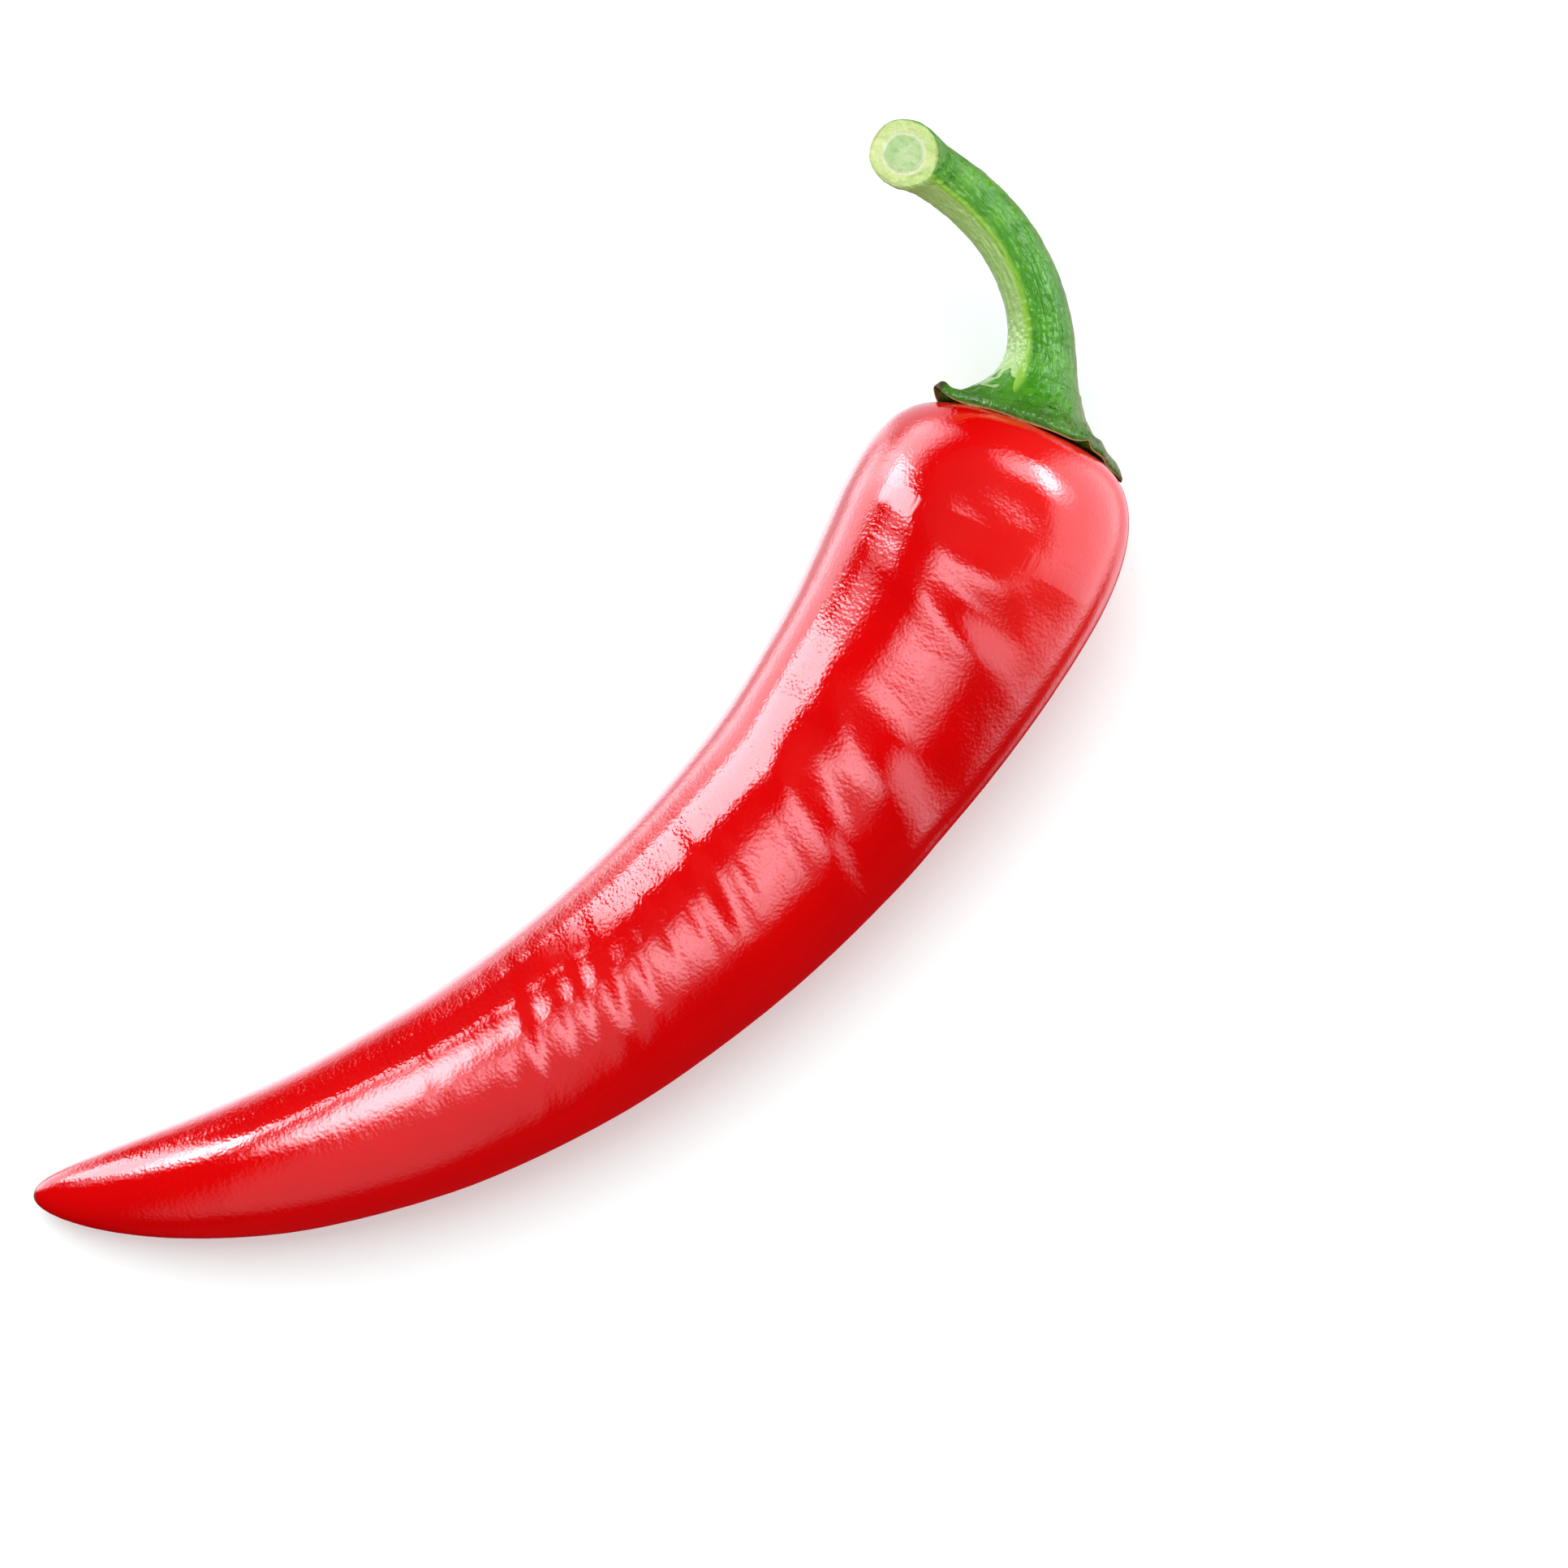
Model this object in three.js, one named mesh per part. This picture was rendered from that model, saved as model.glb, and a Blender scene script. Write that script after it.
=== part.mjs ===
// A red chilli pepper as picked, lying on its side on a surface: pod, calyx and stalk.
// Millimetres, +Z up, +X from the tip of the pod towards the stalk. The origin is under the middle
// of the pepper, on the surface that it lies on.
import * as THREE from 'three';

const DEGREE = Math.PI / 180;
const UP = new THREE.Vector3(0, 0, 1);

// Pod: its centreline turns steadily, so it lies as a shallow bow.
const POD_LENGTH = 120.8;
const TIP_HEADING = -38 * DEGREE;
const SHOULDER_HEADING = 32 * DEGREE;
const EXTRA_TURN_AT_MIDDLE = 4.4 * DEGREE;
const TAPER = [14.9, 5.7, -24.5, 19.2];
const SHOULDER_DEPTH = 26.3;
const SHOULDER_POWER = 3.65;
const TIP_LIFT = 2.2;
const CALYX_LIFT = 0.6;
const CALYX_LIFT_LENGTH = 15;

// Calyx: a cap with points, draped on the shoulder and rising to a crown round the stalk.
const CALYX_POINT_RADIUS = 9.9;
const CALYX_SIDE_RADIUS = 8.1;
const CALYX_POINT_ANGLES = [-60, 41, 110, 172, 235];
const CALYX_POINT_WIDTH = 13;
const CALYX_POINT_SHARPNESS = 1.5;
const CALYX_RIM_THICKNESS = 0.6;
const CROWN_HEIGHT = 3.2;
const GAP = 0.3;

// Stalk: it leaves the crown along the pod and bends round and upwards to a slanting cut.
const STALK_LENGTH = 28.2;
const STALK_HEADINGS = [39 * DEGREE, 133 * DEGREE];
const STALK_PITCHES = [5 * DEGREE, 60 * DEGREE];
const STALK_PITCH_POWER = 4.1;
const STALK_RADIUS = 2.85;
const STALK_THINNING = 0.3;
const FLARE_RADIUS = 5.75;
const FLARE_LENGTH = 2.2;
const CUT_SWELL = 0.45;
const CUT_SWELL_LENGTH = 2.4;
const FOOT_LEAN_LENGTH = 6;
const CUT_LEAN_LENGTH = 5;

// Fineness of the faceted solids.
const TRACE_STEPS = 600;
const POD_RINGS = 50;
const POD_SIDES = 32;
const CALYX_RINGS = 9;
const CALYX_SIDES = 60;
const STALK_RINGS = 26;
const STALK_SIDES = 20;

// The radius of the pod at a fraction of its length, before the shoulder rounds it off: a round tip
// that grows as the square root, times a cubic that gives the swelling and the waist.
function taperRadius(fraction) {
  const cubic = TAPER.reduce((sum, factor, power) => sum + factor * fraction ** power, 0);
  return Math.sqrt(fraction) * cubic;
}

// The part of the full radius that is left at a depth below the top of the shoulder.
function shoulderShare(depth) {
  const rest = Math.max(0, 1 - depth / SHOULDER_DEPTH);
  return (1 - rest ** SHOULDER_POWER) ** (1 / SHOULDER_POWER);
}

function podRadius(distance) {
  return taperRadius(distance / POD_LENGTH) * shoulderShare(POD_LENGTH - distance);
}

// How far the shoulder has dropped below its top at a distance from the axis.
function shoulderDrop(radius) {
  const share = Math.min(1, radius / taperRadius(1));
  return SHOULDER_DEPTH * (1 - (1 - share ** SHOULDER_POWER) ** (1 / SHOULDER_POWER));
}

function podHeading(fraction) {
  const even = TIP_HEADING + (SHOULDER_HEADING - TIP_HEADING) * fraction;
  return even + EXTRA_TURN_AT_MIDDLE * Math.sin(Math.PI * fraction);
}

// The height of the pod's axis over the surface: its own radius, eased where the tip lifts, with a
// small rise where the shoulder turns up.
function podHeight(fraction) {
  const end = Math.max(0, 1 - (POD_LENGTH * (1 - fraction)) / CALYX_LIFT_LENGTH);
  return Math.hypot(taperRadius(Math.min(fraction, 0.9)), TIP_LIFT) + CALYX_LIFT * end ** 2;
}

// Walks a path from its start, where headingAt and pitchAt give its direction at each fraction.
function tracePath(start, length, headingAt, pitchAt) {
  const points = [start.clone()];
  for (let step = 0; step < TRACE_STEPS; step++) {
    const fraction = (step + 0.5) / TRACE_STEPS;
    const flat = Math.cos(pitchAt(fraction));
    const move = new THREE.Vector3(
      Math.cos(headingAt(fraction)) * flat,
      Math.sin(headingAt(fraction)) * flat,
      Math.sin(pitchAt(fraction)),
    );
    points.push(points[step].clone().addScaledVector(move, length / TRACE_STEPS));
  }
  return points;
}

// The centre of a traced path at a fraction, with its right-hand side, direction and lift.
function stationAt(points, fraction) {
  const place = THREE.MathUtils.clamp(fraction, 0, 1) * (points.length - 1);
  const index = Math.min(Math.floor(place), points.length - 2);
  const centre = points[index].clone().lerp(points[index + 1], place - index);
  const along = points[index + 1].clone().sub(points[index]).normalize();
  const side = new THREE.Vector3().crossVectors(along, UP).normalize();
  const lift = new THREE.Vector3().crossVectors(side, along);
  return { centre, side, along, lift };
}

// Carries a lathed solid, whose axis is Y, along a path: each point goes to the station that
// placeAt gives for its height on the axis.
function bendAlong(geometry, placeAt) {
  const position = geometry.getAttribute('position');
  const point = new THREE.Vector3();
  for (let index = 0; index < position.count; index++) {
    point.fromBufferAttribute(position, index);
    const station = placeAt(point.y);
    const placed = station.centre
      .clone()
      .addScaledVector(station.side, point.x)
      .addScaledVector(station.lift, point.z)
      .addScaledVector(station.along, station.beyond ?? 0);
    position.setXYZ(index, placed.x, placed.y, placed.z);
  }
  geometry.computeVertexNormals();
  return geometry;
}

function podPath() {
  const flatPath = tracePath(new THREE.Vector3(), POD_LENGTH, podHeading, () => 0);
  flatPath.forEach((point, step) => point.setZ(podHeight(step / TRACE_STEPS)));
  return flatPath;
}

function makePod(path) {
  const profile = Array.from({ length: POD_RINGS + 1 }, (_, ring) => {
    const distance = (POD_LENGTH * (1 - Math.cos((Math.PI * ring) / POD_RINGS))) / 2;
    const closed = ring === 0 || ring === POD_RINGS;
    return new THREE.Vector2(closed ? 0 : podRadius(distance), distance);
  });
  const lathe = new THREE.LatheGeometry(profile, POD_SIDES);
  return bendAlong(lathe, (distance) => stationAt(path, distance / POD_LENGTH));
}

// The distance from the axis to the rim of the calyx in one direction: an even side with a rounded
// point at each of the point angles.
function calyxRim(angle) {
  const points = CALYX_POINT_ANGLES.map((pointAngle) => {
    const away = ((angle / DEGREE - pointAngle + 540) % 360) - 180;
    return Math.exp(-(Math.abs(away / CALYX_POINT_WIDTH) ** CALYX_POINT_SHARPNESS));
  });
  const reach = CALYX_POINT_RADIUS - CALYX_SIDE_RADIUS;
  return CALYX_SIDE_RADIUS + reach * Math.max(...points);
}

// The radius of the green flare round the stalk, at a height over the top of the shoulder.
function flareRadius(height) {
  return STALK_RADIUS + FLARE_RADIUS * Math.exp(-height / FLARE_LENGTH);
}

// The height of the upper face of the calyx at a distance from the axis.
function calyxTop(radius) {
  if (radius <= flareRadius(CROWN_HEIGHT)) {
    return CROWN_HEIGHT;
  }
  const flare = FLARE_LENGTH * Math.log(FLARE_RADIUS / (radius - STALK_RADIUS));
  const plate = GAP + CALYX_RIM_THICKNESS - shoulderDrop(radius);
  return Math.max(plate, flare);
}

function makeCalyx(station) {
  const shares = Array.from({ length: CALYX_RINGS }, (_, ring) => (ring + 1) / CALYX_RINGS);
  const profile = [
    new THREE.Vector2(0, 0),
    ...shares.map((share) => new THREE.Vector2(share, 0)),
    ...shares.toReversed().map((share) => new THREE.Vector2(share, 1)),
    new THREE.Vector2(0, 1),
  ];
  const geometry = new THREE.LatheGeometry(profile, CALYX_SIDES);
  const position = geometry.getAttribute('position');
  for (let index = 0; index < position.count; index++) {
    const across = new THREE.Vector2(position.getX(index), position.getZ(index));
    const rim = calyxRim(Math.atan2(across.x, across.y));
    across.multiplyScalar(rim);
    const upper = position.getY(index) === 1;
    const height = upper ? calyxTop(across.length()) : GAP - shoulderDrop(across.length());
    position.setXYZ(index, across.x, height, across.y);
  }
  return bendAlong(geometry, (height) => ({ ...station, beyond: height }));
}

function stalkPath(station) {
  const between = THREE.MathUtils.lerp;
  const foot = station.centre.clone().addScaledVector(station.along, CROWN_HEIGHT + GAP);
  const headingAt = (fraction) => between(...STALK_HEADINGS, fraction);
  const pitchAt = (fraction) => between(...STALK_PITCHES, fraction ** STALK_PITCH_POWER);
  return tracePath(foot, STALK_LENGTH, headingAt, pitchAt);
}

function stalkRadius(distance) {
  const swell = CUT_SWELL * Math.exp(-(((STALK_LENGTH - distance) / CUT_SWELL_LENGTH) ** 2));
  const thinning = (STALK_THINNING * distance) / STALK_LENGTH;
  return flareRadius(CROWN_HEIGHT + GAP + distance) - thinning + swell;
}

// Sections are square to the path in the middle. Near the foot they lie flat on the crown, and near
// the end they lean over until the last, the cut, faces up.
function makeStalk(path, crown) {
  const profile = Array.from({ length: STALK_RINGS + 1 }, (_, ring) => {
    const distance = (STALK_LENGTH * ring) / STALK_RINGS;
    return new THREE.Vector2(stalkRadius(distance), distance);
  });
  profile.unshift(new THREE.Vector2(0, 0));
  profile.push(new THREE.Vector2(0, STALK_LENGTH));
  const smooth = THREE.MathUtils.smoothstep;
  return bendAlong(new THREE.LatheGeometry(profile, STALK_SIDES), (distance) => {
    const station = stationAt(path, distance / STALK_LENGTH);
    const facing = crown.along
      .clone()
      .lerp(station.along, smooth(distance, 0, FOOT_LEAN_LENGTH))
      .lerp(UP, smooth(distance, STALK_LENGTH - CUT_LEAN_LENGTH, STALK_LENGTH))
      .normalize();
    const side = new THREE.Vector3().crossVectors(facing, station.lift).normalize();
    return { ...station, side, lift: new THREE.Vector3().crossVectors(side, facing) };
  });
}

function named(name, geometry, color, roughness) {
  const material = new THREE.MeshStandardMaterial({ name, color, roughness, metalness: 0 });
  const mesh = new THREE.Mesh(geometry, material);
  mesh.name = name;
  return mesh;
}

const axis = podPath();
const top = stationAt(axis, 1);
const pepper = new THREE.Group();
pepper.add(
  named('pod', makePod(axis), 0xd4040c, 0.28),
  named('calyx', makeCalyx(top), 0x2f7d22, 0.55),
  named('stalk', makeStalk(stalkPath(top), top), 0x5fa52f, 0.45),
);

// Seats the pepper: the middle of its box over the origin and its lowest point on the surface.
const box = new THREE.Box3().setFromObject(pepper, true);
const middle = box.getCenter(new THREE.Vector3());
pepper.position.set(-middle.x, -middle.y, -box.min.z);

export default pepper;
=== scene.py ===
"""A long red chilli pepper as picked, lying on its side: its pod, its calyx and its stalk.

The shapes are worked out in millimetres along the pepper's own centreline, whose tip is at the
start of the first axis. seated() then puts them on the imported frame, in metres.
"""

import math

import bpy
import numpy as np
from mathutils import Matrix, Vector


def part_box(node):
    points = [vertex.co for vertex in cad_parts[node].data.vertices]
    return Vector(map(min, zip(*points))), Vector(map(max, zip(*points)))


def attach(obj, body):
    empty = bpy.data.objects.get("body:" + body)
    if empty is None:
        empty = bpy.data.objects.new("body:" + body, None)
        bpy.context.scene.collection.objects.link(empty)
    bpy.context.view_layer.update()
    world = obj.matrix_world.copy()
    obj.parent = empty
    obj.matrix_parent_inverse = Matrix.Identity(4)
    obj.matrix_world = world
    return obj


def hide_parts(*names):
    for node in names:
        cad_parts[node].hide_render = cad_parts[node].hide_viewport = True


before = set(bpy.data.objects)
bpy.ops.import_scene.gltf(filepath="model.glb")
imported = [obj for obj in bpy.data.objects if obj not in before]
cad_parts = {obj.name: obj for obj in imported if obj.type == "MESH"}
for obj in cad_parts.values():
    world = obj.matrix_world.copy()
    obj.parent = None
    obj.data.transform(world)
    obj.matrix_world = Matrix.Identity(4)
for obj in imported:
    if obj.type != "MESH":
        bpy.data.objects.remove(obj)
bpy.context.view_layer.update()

MM = 0.001
UP = np.array([0.0, 0.0, 1.0])

# The pod's centreline and outline, the same as those of its solid.
POD_LENGTH = 120.8
POD_HEADINGS = np.radians([-38.0, 32.0])
EXTRA_TURN_AT_MIDDLE = math.radians(4.4)
TAPER = [14.9, 5.7, -24.5, 19.2]
SHOULDER_DEPTH = 26.3
SHOULDER_POWER = 3.65
TIP_LIFT = 2.2
CALYX_LIFT = 0.6
CALYX_LIFT_LENGTH = 15.0
LEVEL_FROM = 0.9
TRACE_STEPS = 1200

# The green parts: the flare round the stalk, the calyx and the stalk's bend.
CROWN_HEIGHT = 3.5
STALK_LENGTH = 28.2
STALK_HEADINGS = np.radians([39.0, 133.0])
STALK_PITCHES = np.radians([5.0, 60.0])
STALK_PITCH_POWER = 4.1
STALK_RADIUS = 2.85
STALK_THINNING = 0.3
FLARE_RADIUS = 5.75
FLARE_LENGTH = 2.7
CUT_SWELL = 0.7
CUT_SWELL_LENGTH = 2.4
FOOT_LEAN_LENGTH = 6.0
CUT_LEAN_LENGTH = 5.0

# ------------------------------------------------------------------------------------- curves


def smoothstep(value, low, high):
    """0 below low, 1 above high, and 3t^2 - 2t^3 between them."""
    share = np.clip((value - low) / (high - low), 0.0, 1.0)
    return share * share * (3 - 2 * share)


def bell(value, width):
    """A bump of height 1 and the given half-width: exp(-(value / width)^2)."""
    return np.exp(-((value / width) ** 2))


def taper_radius(fraction):
    """The square root of the fraction, for a round tip, times a cubic of it, for the swelling."""
    cubic = sum(factor * fraction**power for power, factor in enumerate(TAPER))
    return np.sqrt(fraction) * cubic


def shoulder_share(depth):
    """The share of the radius left at a depth below the top: (1 - (1 - depth / D)^p)^(1/p)."""
    rest = np.clip(1 - depth / SHOULDER_DEPTH, 0.0, 1.0)
    return (1 - rest**SHOULDER_POWER) ** (1 / SHOULDER_POWER)


def pod_radius(distance):
    return taper_radius(distance / POD_LENGTH) * shoulder_share(POD_LENGTH - distance)


def shoulder_drop(radius):
    """How far the shoulder lies below its top at a distance from the axis: the share, inverted."""
    share = np.clip(radius / taper_radius(1.0), 0.0, 1.0)
    return SHOULDER_DEPTH * (1 - (1 - share**SHOULDER_POWER) ** (1 / SHOULDER_POWER))


def walk(start, length, headings, pitches):
    """Points of a path that goes from start by equal steps in the given directions."""
    flat = np.cos(pitches)
    moves = np.stack([np.cos(headings) * flat, np.sin(headings) * flat, np.sin(pitches)], axis=1)
    steps = np.cumsum(moves * (length / len(headings)), axis=0)
    return np.vstack([start, start + steps])


def pod_path():
    """The pod's axis: its heading turns evenly, with a little extra at the middle. Its height is
    its own radius, eased where the tip lifts, so that the pod lies on the surface, and it rises a
    little where the shoulder turns up."""
    middle = (np.arange(TRACE_STEPS) + 0.5) / TRACE_STEPS
    even = POD_HEADINGS[0] + (POD_HEADINGS[1] - POD_HEADINGS[0]) * middle
    headings = even + EXTRA_TURN_AT_MIDDLE * np.sin(np.pi * middle)
    path = walk(np.zeros(3), POD_LENGTH, headings, np.zeros(TRACE_STEPS))
    fraction = np.linspace(0.0, 1.0, TRACE_STEPS + 1)
    end = np.clip(1 - POD_LENGTH * (1 - fraction) / CALYX_LIFT_LENGTH, 0.0, 1.0)
    level = np.hypot(taper_radius(np.minimum(fraction, LEVEL_FROM)), TIP_LIFT)
    path[:, 2] = level + CALYX_LIFT * end**2
    return path


def unit(vectors):
    return vectors / np.linalg.norm(vectors, axis=-1, keepdims=True)


def stations(path, fractions):
    """The centre, right-hand side, direction and lift of a path at each fraction of its length."""
    place = np.clip(fractions, 0.0, 1.0) * (len(path) - 1)
    index = np.minimum(place.astype(int), len(path) - 2)
    centre = path[index] + (path[index + 1] - path[index]) * (place - index)[..., None]
    along = unit(path[index + 1] - path[index])
    side = unit(np.cross(along, UP))
    return centre, side, along, np.cross(side, along)


def stalk_path(centre, along):
    """The stalk's axis: it leaves the crown and turns evenly in plan, while its pitch rises with a
    power of the distance, so that it bends upwards only near the cut."""
    middle = (np.arange(TRACE_STEPS) + 0.5) / TRACE_STEPS
    headings = STALK_HEADINGS[0] + (STALK_HEADINGS[1] - STALK_HEADINGS[0]) * middle
    rise = middle**STALK_PITCH_POWER
    pitches = STALK_PITCHES[0] + (STALK_PITCHES[1] - STALK_PITCHES[0]) * rise
    return walk(centre + along * CROWN_HEIGHT, STALK_LENGTH, headings, pitches)


POD_AXIS = pod_path()
TOP_CENTRE, TOP_SIDE, TOP_ALONG, TOP_LIFT = stations(POD_AXIS, np.array(1.0))
STALK_AXIS = stalk_path(TOP_CENTRE, TOP_ALONG)


def flare_radius(height):
    """The radius of the green flare: the stalk's own, plus an exponential foot."""
    return STALK_RADIUS + FLARE_RADIUS * np.exp(-height / FLARE_LENGTH)


def ripple(points, wavelength, seed, waves=28):
    """A smooth field between about -1 and 1: the mean of cosines of one wavelength that run in
    random directions with random phases."""
    draw = np.random.default_rng(seed)
    courses = unit(draw.normal(size=(waves, 3)))
    phases = draw.uniform(0, 2 * np.pi, waves)
    field = np.zeros(points.shape[:-1])
    for course, phase in zip(courses, phases):
        field += np.cos(points @ course * (2 * np.pi / wavelength) + phase)
    return field * math.sqrt(2 / waves) / 2


def crosswise(angle, radius, third):
    """Points at an angle and radius about a straight axis, with a third coordinate along it."""
    return np.stack([radius * np.sin(angle), radius * np.cos(angle), third], axis=-1)


# ------------------------------------------------------------------------------------- pieces


def closed_piece(name, rows, marks, node):
    """A closed mesh from a grid of points (rows, sides, 3). Columns run round the piece and rows
    run along it, and the first and last rows are each one point, the poles. marks are values for
    the materials, one for each point of the grid."""
    count, sides = rows.shape[:2]
    points = np.vstack([rows[0, :1], rows[1:-1].reshape(-1, 3), rows[-1, :1]])
    ring = 1 + np.arange((count - 2) * sides).reshape(count - 2, sides)
    after = np.roll(ring, -1, axis=1)
    quads = np.stack([ring[:-1], after[:-1], after[1:], ring[1:]], axis=-1).reshape(-1, 4)
    start = np.stack([np.zeros(sides, int), after[0], ring[0]], axis=-1)
    end = np.stack([np.full(sides, len(points) - 1), ring[-1], after[-1]], axis=-1)
    mesh = bpy.data.meshes.new(name)
    mesh.from_pydata(points, [], [*start.tolist(), *quads.tolist(), *end.tolist()])
    mesh.polygons.foreach_set("use_smooth", np.ones(len(mesh.polygons), bool))
    for mark, values in marks.items():
        flat = values.reshape(count, sides, -1)
        flat = np.vstack([flat[0, :1], flat[1:-1].reshape(-1, flat.shape[-1]), flat[-1, :1]])
        kind = "FLOAT_VECTOR" if flat.shape[-1] == 3 else "FLOAT"
        attribute = mesh.attributes.new(mark, kind, "POINT")
        field = "vector" if kind == "FLOAT_VECTOR" else "value"
        attribute.data.foreach_set(field, flat.astype(np.float32).ravel())
    mesh.update()
    piece = bpy.data.objects.new(name, mesh)
    bpy.context.scene.collection.objects.link(piece)
    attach(piece, "root")
    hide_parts(node)
    return piece


def round_section(station, angle, radius):
    """Points at an angle from the lift, towards the right-hand side, at a radius."""
    centre, side, _, lift = station
    across = side * np.sin(angle)[..., None] + lift * np.cos(angle)[..., None]
    return centre + across * radius[..., None]


def straight(distance, angle, radius):
    """Where a point would be if its piece were straightened, in metres, for patterns that follow
    the piece."""
    return crosswise(angle, radius, distance) * MM


def full_turn(sides):
    return np.arange(sides) * (2 * np.pi / sides)


# ---------------------------------------------------------------------------------------- pod

POD_ROWS = 470
POD_SIDES = 210
POD_END_CROWDING = 0.5
END_RADIUS = 4.0

# Soft dents (-) and swellings (+): distance from the tip, angle, half-length, half-width, height.
POD_DENTS = [
    (110.5, -38, 5, 7, 0.14),
    (115, 22, 3.5, 6, 0.25),
    (109.5, 18, 2.4, 5, -0.3),
    (106, 42, 2.5, 4, -0.3),
    (103, 24, 2.2, 5, -0.34),
    (110, 66, 5, 6, 0.2),
    (95, 17, 6, 5, -0.12),
    (119.3, -20, 0.9, 9, 0.2),
    (22, -18, 6, 3, 0.1),
]
# Steps across the upper face, which fall back on both sides: distance from the tip, angle,
# rise, half-width and half-length round the pod.
POD_STEPS = [
    (108.5, -9, -0.85, 4.4, 5),
    (102.5, 8, -0.5, 2.4, 8),
    (88.3, 24, -0.78, 3.6, 9),
    (84.6, -12, -0.5, 3.2, 4.5),
    (80.6, 15, -0.46, 2.2, 7),
    (76.4, 14, -0.07, 0.9, 4),
    (72.6, 4, -0.1, 0.8, 4),
    (69.4, 7, -0.26, 1.4, 6),
    (66.3, 9, -0.1, 0.8, 3.5),
    (63.6, 3, -0.14, 0.8, 4),
    (60.4, 7, -0.1, 0.7, 3.5),
    (57.4, 4, -0.24, 1.2, 5),
    (54.8, -1, -0.12, 0.7, 4),
    (52.4, 2, -0.1, 0.7, 3.5),
    (49.6, -3, -0.18, 1.0, 5),
    (39.6, -10, -0.08, 1.2, 4),
]
STEP_SLANT = 0.28
# Three shallow lobes that grow from the middle to the shoulder.
LOBES = 3
LOBE_HEIGHT = 0.14
LOBE_PHASE = 0.9
LOBE_RANGE = (60, 112)
# Ripples: wavelength, seed and height. The wrinkles run round the pod and are highest on its
# upper face, about a place given by distance and half-length, and shift and half-width.
SLOW_RIPPLE = (11.0, 3, 0.07)
SLOW_RIPPLE_STRETCH = [1.0, 1.0, 0.8]
SLOW_RIPPLE_RANGE = (2, 20)
WRINKLES = (2.3, 5, 0.04)
WRINKLES_ELSEWHERE = 0.006
WRINKLE_STRETCH = 0.28
WRINKLES_ALONG = (66, 26)
WRINKLES_AROUND = (1.5, 4.8)
FINE_RIPPLES = [(1.7, 6, 0.004), (0.8, 7, 0.0015)]
# The scar at the tip, and the painted glow: a lighter, warmer red painted on the right of the
# shoulder, where light shines through the skin.
SCAR_LENGTH = 0.9
PAINTED_GLOW_RANGE = (84, 114)


def around_pod(angle, degrees, radius):
    """The distance round the pod from a direction, in millimetres, negative to its left."""
    return (np.mod(angle - math.radians(degrees) + np.pi, 2 * np.pi) - np.pi) * radius


def pod_relief(distance, angle, radius):
    """How far the skin stands off the plain outline, in millimetres: shallow lobes at the
    shoulder, soft dents, slanting steps, a slow ripple, and short wrinkles on the upper face."""
    relief = LOBE_HEIGHT * smoothstep(distance, *LOBE_RANGE) * np.cos(LOBES * angle + LOBE_PHASE)
    for at, degrees, length, width, height in POD_DENTS:
        around = around_pod(angle, degrees, radius)
        relief = relief + height * bell(distance - at, length) * bell(around, width)
    for at, degrees, rise, width, length in POD_STEPS:
        around = around_pod(angle, degrees, radius)
        across = (distance - at + STEP_SLANT * around) / width
        relief = relief + rise * across * np.exp(-(across**2)) * bell(around, length)
    place = crosswise(angle, radius, distance)
    wavelength, seed, height = SLOW_RIPPLE
    slow = height * ripple(place * SLOW_RIPPLE_STRETCH, wavelength, seed)
    relief += slow * smoothstep(distance, *SLOW_RIPPLE_RANGE)
    around = around_pod(angle, 0, radius)
    slanted = distance + STEP_SLANT * around
    wrinkle = np.stack([slanted, WRINKLE_STRETCH * around, 0 * angle], axis=-1)
    middle, half_length = WRINKLES_ALONG
    shift, half_width = WRINKLES_AROUND
    upper = bell(distance - middle, half_length) * bell(around - shift, half_width)
    wavelength, seed, height = WRINKLES
    relief += (WRINKLES_ELSEWHERE + height * upper) * ripple(wrinkle, wavelength, seed)
    for wavelength, seed, height in FINE_RIPPLES:
        relief += height * ripple(place, wavelength, seed)
    return relief


def make_pod():
    """The pod: circles of the outline's radius plus the relief, carried along its axis. The relief
    fades at the two ends. Returned are its points, its marks and its move on to the frame."""
    share = np.linspace(0.0, 1.0, POD_ROWS)
    crowded = (1 - np.cos(np.pi * share)) / 2
    distance = POD_LENGTH * (share + (crowded - share) * POD_END_CROWDING)
    distance, angle = np.meshgrid(distance, full_turn(POD_SIDES), indexing="ij")
    plain = pod_radius(distance)
    open_end = np.minimum(plain / END_RADIUS, 1.0)
    radius = plain + pod_relief(distance, angle, plain) * open_end
    station = stations(POD_AXIS, distance / POD_LENGTH)
    rows = round_section(station, angle, radius)
    glow_side = (1 + np.sin(angle)) / 2
    marks = {
        "straight": straight(distance, angle, radius),
        "scar": bell(distance, SCAR_LENGTH),
        # painted glow: lighter, warmer red on the right of the shoulder, standing in for light
        # through the skin
        "painted_glow": smoothstep(distance, *PAINTED_GLOW_RANGE) * glow_side,
    }
    return rows, marks, seat_from(round_section(station, angle, plain), rows)


def seat_from(plain, rows):
    """The move, in millimetres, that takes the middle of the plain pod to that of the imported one,
    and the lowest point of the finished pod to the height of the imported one's."""
    low, high = (np.array(corner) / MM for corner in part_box("pod"))
    move = (low + high - plain.min(axis=(0, 1)) - plain.max(axis=(0, 1))) / 2
    move[2] = low[2] - rows[..., 2].min()
    return move


# ------------------------------------------------------------------------------------- calyx

CALYX_ROWS = 90
CALYX_SIDES = 260
CALYX_SIDE_RADIUS = 8.1
CALYX_THICKNESS = 0.45
# Points of the calyx: angle, reach past the sides, lift of the tip off the shoulder, width.
CALYX_POINTS = [
    (-60, 2.0, 1.1, 12),
    (44, 0.9, 1.3, 9),
    (110, 2.6, 0.6, 11),
    (172, 1.9, 0.4, 13),
    (235, 2.1, 0.7, 12),
]
POINT_SHARPNESS = 1.4
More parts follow.
